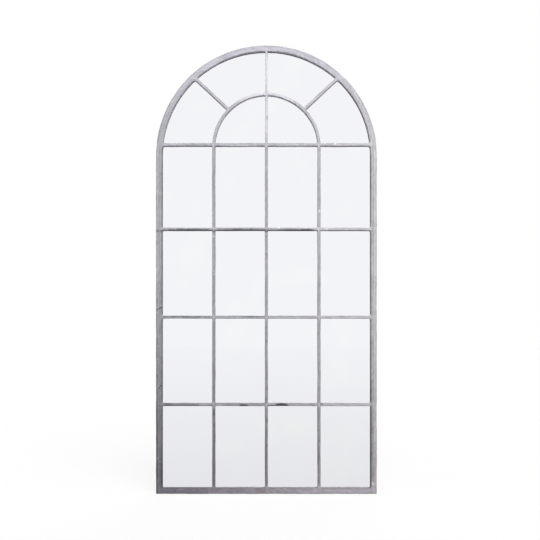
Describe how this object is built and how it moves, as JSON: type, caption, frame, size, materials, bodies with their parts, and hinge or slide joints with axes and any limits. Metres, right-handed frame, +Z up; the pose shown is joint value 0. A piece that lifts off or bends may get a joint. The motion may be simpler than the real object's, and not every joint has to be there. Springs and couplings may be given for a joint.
{
  "type": "arched window mirror",
  "caption": "Arched mirror to hang or lean: glass behind a painted steel hoop with glazing bars and a fan head, with ring hangers and wall pads at the back.",
  "frame": {"origin": "on the wall plane, midway between the pivots of the two hanging rings", "axes": "+Z up, +Y into the wall, so the front faces -Y; +X to the right as seen from the front"},
  "size_m": [0.9, 0.0252, 1.829],
  "materials": {
    "painted_steel": "worn pale grey paint, brushed on and rubbed back",
    "mirror_glass": "polished, silvered from behind",
    "fibre_board": "plain hard fibre board",
    "foam_tape": "matt closed-cell foam",
    "zinc_plate": "bright zinc plate",
    "pad_rubber": "matt"
  },
  "bodies": {
    "mirror": {"arch_tube": "painted_steel", "left_jamb": "painted_steel", "right_jamb": "painted_steel", "sill": "painted_steel", "left_glazing_bar": "painted_steel", "centre_glazing_bar": "painted_steel", "right_glazing_bar": "painted_steel", "lower_cross_bar_1": "painted_steel", "lower_cross_bar_2": "painted_steel", "lower_cross_bar_3": "painted_steel", "lower_cross_bar_4": "painted_steel", "middle_cross_bar_1": "painted_steel", "middle_cross_bar_2": "painted_steel", "middle_cross_bar_3": "painted_steel", "middle_cross_bar_4": "painted_steel", "upper_cross_bar_1": "painted_steel", "upper_cross_bar_2": "painted_steel", "upper_cross_bar_3": "painted_steel", "upper_cross_bar_4": "painted_steel", "spring_bar_1": "painted_steel", "spring_bar_2": "painted_steel", "spring_bar_3": "painted_steel", "spring_bar_4": "painted_steel", "fan_arch": "painted_steel", "left_spoke": "painted_steel", "right_spoke": "painted_steel", "top_spoke": "painted_steel", "bottom_spoke": "painted_steel", "mirror_glass": "mirror_glass", "backing_board": "fibre_board", "left_foam_tape": "foam_tape", "centre_foam_tape": "foam_tape", "right_foam_tape": "foam_tape", "board_screw_1": "zinc_plate", "board_screw_2": "zinc_plate", "board_screw_3": "zinc_plate", "board_screw_4": "zinc_plate", "board_screw_5": "zinc_plate", "board_screw_6": "zinc_plate", "board_screw_7": "zinc_plate", "board_screw_8": "zinc_plate", "board_screw_9": "zinc_plate", "board_screw_10": "zinc_plate", "board_screw_11": "zinc_plate", "board_screw_12": "zinc_plate", "left_hanger_strap": "zinc_plate", "left_hanger_screw_1": "zinc_plate", "left_hanger_screw_2": "zinc_plate", "right_hanger_strap": "zinc_plate", "right_hanger_screw_1": "zinc_plate", "right_hanger_screw_2": "zinc_plate", "left_wall_pad": "pad_rubber", "right_wall_pad": "pad_rubber"},
    "left_ring": {"left_hanger_ring": "zinc_plate"},
    "right_ring": {"right_hanger_ring": "zinc_plate"}
  },
  "joints": [
    {"name": "left_ring_swing", "type": "hinge", "parent": "mirror", "child": "left_ring", "pos_m": [-0.4375, -0.0032, 0], "axis": [1, 0, 0], "range_deg": [0, 180]},
    {"name": "right_ring_swing", "type": "hinge", "parent": "mirror", "child": "right_ring", "pos_m": [0.4375, -0.0032, 0], "axis": [1, 0, 0], "range_deg": [0, 180]}
  ]
}
